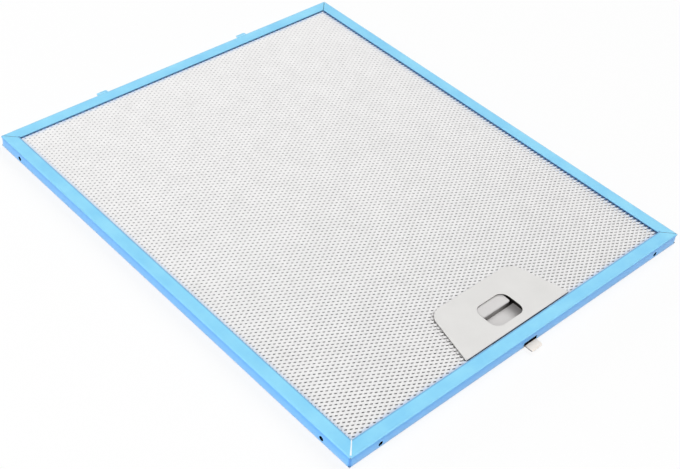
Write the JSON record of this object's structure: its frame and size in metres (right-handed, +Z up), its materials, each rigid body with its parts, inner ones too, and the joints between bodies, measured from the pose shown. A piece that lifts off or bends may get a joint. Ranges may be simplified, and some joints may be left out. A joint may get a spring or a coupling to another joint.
{
  "type": "cooker hood grease filter",
  "caption": "Flat rectangular grease filter panel: layered expanded metal mesh in a folded channel frame, with a sprung finger latch at one side and fixing tabs at the other.",
  "frame": {"origin": "middle of the underside of the whole part's bounding box, with the part lying flat, latch side up", "axes": "+X across the panel, +Y from the latch side to the rear tabs, +Z up out of the face with the finger opening"},
  "size_m": [0.2686, 0.3294, 0.008],
  "materials": {
    "frame_film": "thin aluminium strip with a satin blue peel-off film on its outer face, bare at cut edges and inside",
    "mesh_aluminium": "bright expanded foil",
    "latch_plastic": "pale grey satin moulding",
    "spring_steel": "bright spring wire"
  },
  "bodies": {
    "filter": {"frame": "frame_film", "upper_mesh": "mesh_aluminium", "inner_mesh_1": "mesh_aluminium", "inner_mesh_2": "mesh_aluminium", "inner_mesh_3": "mesh_aluminium", "lower_mesh": "mesh_aluminium", "latch_cover": "latch_plastic", "latch_base": "latch_plastic", "latch_spring": "spring_steel"},
    "slider": {"latch_slider": "latch_plastic"}
  },
  "joints": [
    {"name": "latch", "type": "slide", "parent": "filter", "child": "slider", "axis": [0, 1, 0], "range_m": [0, 0.0065], "stiffness_N_per_m": 400, "springref_m": -0.006, "deforming": ["latch_spring"]}
  ]
}
